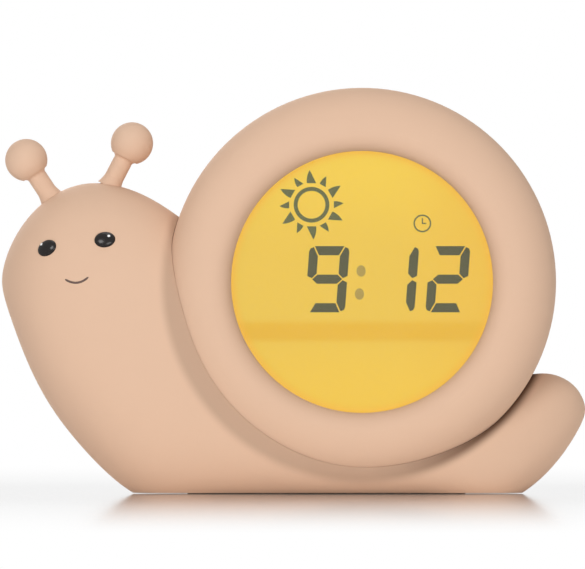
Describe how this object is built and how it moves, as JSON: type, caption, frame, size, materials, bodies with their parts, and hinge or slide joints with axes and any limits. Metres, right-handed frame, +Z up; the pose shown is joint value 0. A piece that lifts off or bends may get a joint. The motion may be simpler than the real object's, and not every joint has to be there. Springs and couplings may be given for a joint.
{
  "type": "kids alarm clock with night light",
  "caption": "Snail-shaped bedside alarm clock with a round lit display, night light, rear keys, speaker and battery bay.",
  "frame": {"origin": "on the table plane, under the middle of the whole clock's box", "axes": "+Z up; the display faces -Y; +X runs from the snail's head to its tail"},
  "size_m": [0.16, 0.06, 0.1111],
  "materials": {
    "soft_shell": "soft-touch matte, peach",
    "keys": "matte silicone, a shade deeper than the housing",
    "eye_bead": "polished near-black",
    "base_rubber": "matte grey",
    "clear_window": "clear polished acrylic",
    "lit_glass": "amber lit display glass",
    "ink": "dark olive",
    "diffuser": "milky",
    "white_plastic": "moulded white",
    "circuit_board": "green solder mask",
    "black_plastic": "moulded black",
    "bright_metal": "nickel plated",
    "ribbon": "amber polyimide",
    "wire_skin": "red insulation",
    "cone_paper": "pressed dark paper",
    "plunger": "moulded dark grey",
    "cell_wrap": "printed sleeve"
  },
  "bodies": {
    "housing": {"base_pad": "base_rubber", "battery_cell_lower": "cell_wrap", "battery_cell_middle": "cell_wrap", "battery_cell_upper": "cell_wrap", "battery_contacts": "bright_metal", "battery_springs": "bright_metal", "board_link_pins": "bright_metal", "board_screws": "bright_metal", "body_front_shell": "soft_shell", "body_rear_shell": "soft_shell", "body_screws": "bright_metal", "capacitors": "black_plastic", "control_chip": "black_plastic", "display_lens": "clear_window", "drum_rear_shell": "soft_shell", "drum_screws": "bright_metal", "eye_left": "eye_bead", "eye_right": "eye_bead", "feeler_left": "soft_shell", "feeler_right": "soft_shell", "lcd_panel": "lit_glass", "lcd_ribbon": "ribbon", "lcd_symbols": "ink", "led_board": "circuit_board", "light_chamber": "white_plastic", "light_diffuser": "diffuser", "main_board": "circuit_board", "night_light_leds": "diffuser", "quartz_crystal": "bright_metal", "ribbon_connector": "white_plastic", "ring_front": "soft_shell", "speaker_cone": "cone_paper", "speaker_frame": "black_plastic", "speaker_gasket": "base_rubber", "speaker_magnet": "bright_metal", "speaker_wires": "wire_skin", "switch_bodies": "black_plastic", "usb_socket": "bright_metal", "key_board_left": "circuit_board", "key_board_right": "circuit_board", "key_board_wires": "wire_skin"},
    "light_key": {"key_light": "keys", "plunger_light": "plunger"},
    "wake_key": {"key_wake": "keys", "plunger_wake": "plunger"},
    "set_key": {"key_set": "keys", "plunger_set": "plunger"},
    "down_key": {"key_down": "keys", "plunger_down": "plunger"},
    "up_key": {"key_up": "keys", "plunger_up": "plunger"},
    "sound_key": {"key_sound": "keys", "plunger_sound": "plunger"},
    "door": {"battery_door": "soft_shell", "battery_door_screw": "bright_metal"}
  },
  "joints": [
    {"name": "light_key_press", "type": "slide", "parent": "housing", "child": "light_key", "axis": [0, -1, 0], "range_m": [0, 0.0006], "stiffness_N_per_m": 2500, "springref_m": -0.0002},
    {"name": "wake_key_press", "type": "slide", "parent": "housing", "child": "wake_key", "axis": [0, -1, 0], "range_m": [0, 0.0006], "stiffness_N_per_m": 2500, "springref_m": -0.0002},
    {"name": "set_key_press", "type": "slide", "parent": "housing", "child": "set_key", "axis": [0, -1, 0], "range_m": [0, 0.0006], "stiffness_N_per_m": 2500, "springref_m": -0.0002},
    {"name": "down_key_press", "type": "slide", "parent": "housing", "child": "down_key", "axis": [0, -1, 0], "range_m": [0, 0.0006], "stiffness_N_per_m": 2500, "springref_m": -0.0002},
    {"name": "up_key_press", "type": "slide", "parent": "housing", "child": "up_key", "axis": [0, -1, 0], "range_m": [0, 0.0006], "stiffness_N_per_m": 2500, "springref_m": -0.0002},
    {"name": "sound_key_press", "type": "slide", "parent": "housing", "child": "sound_key", "axis": [0, -1, 0], "range_m": [0, 0.0006], "stiffness_N_per_m": 2500, "springref_m": -0.0002},
    {"name": "battery_door_hinge", "type": "hinge", "parent": "housing", "child": "door", "pos_m": [0.0187, 0.0279, 0.02115], "axis": [-1, 0, 0], "range_deg": [0, 88]}
  ]
}
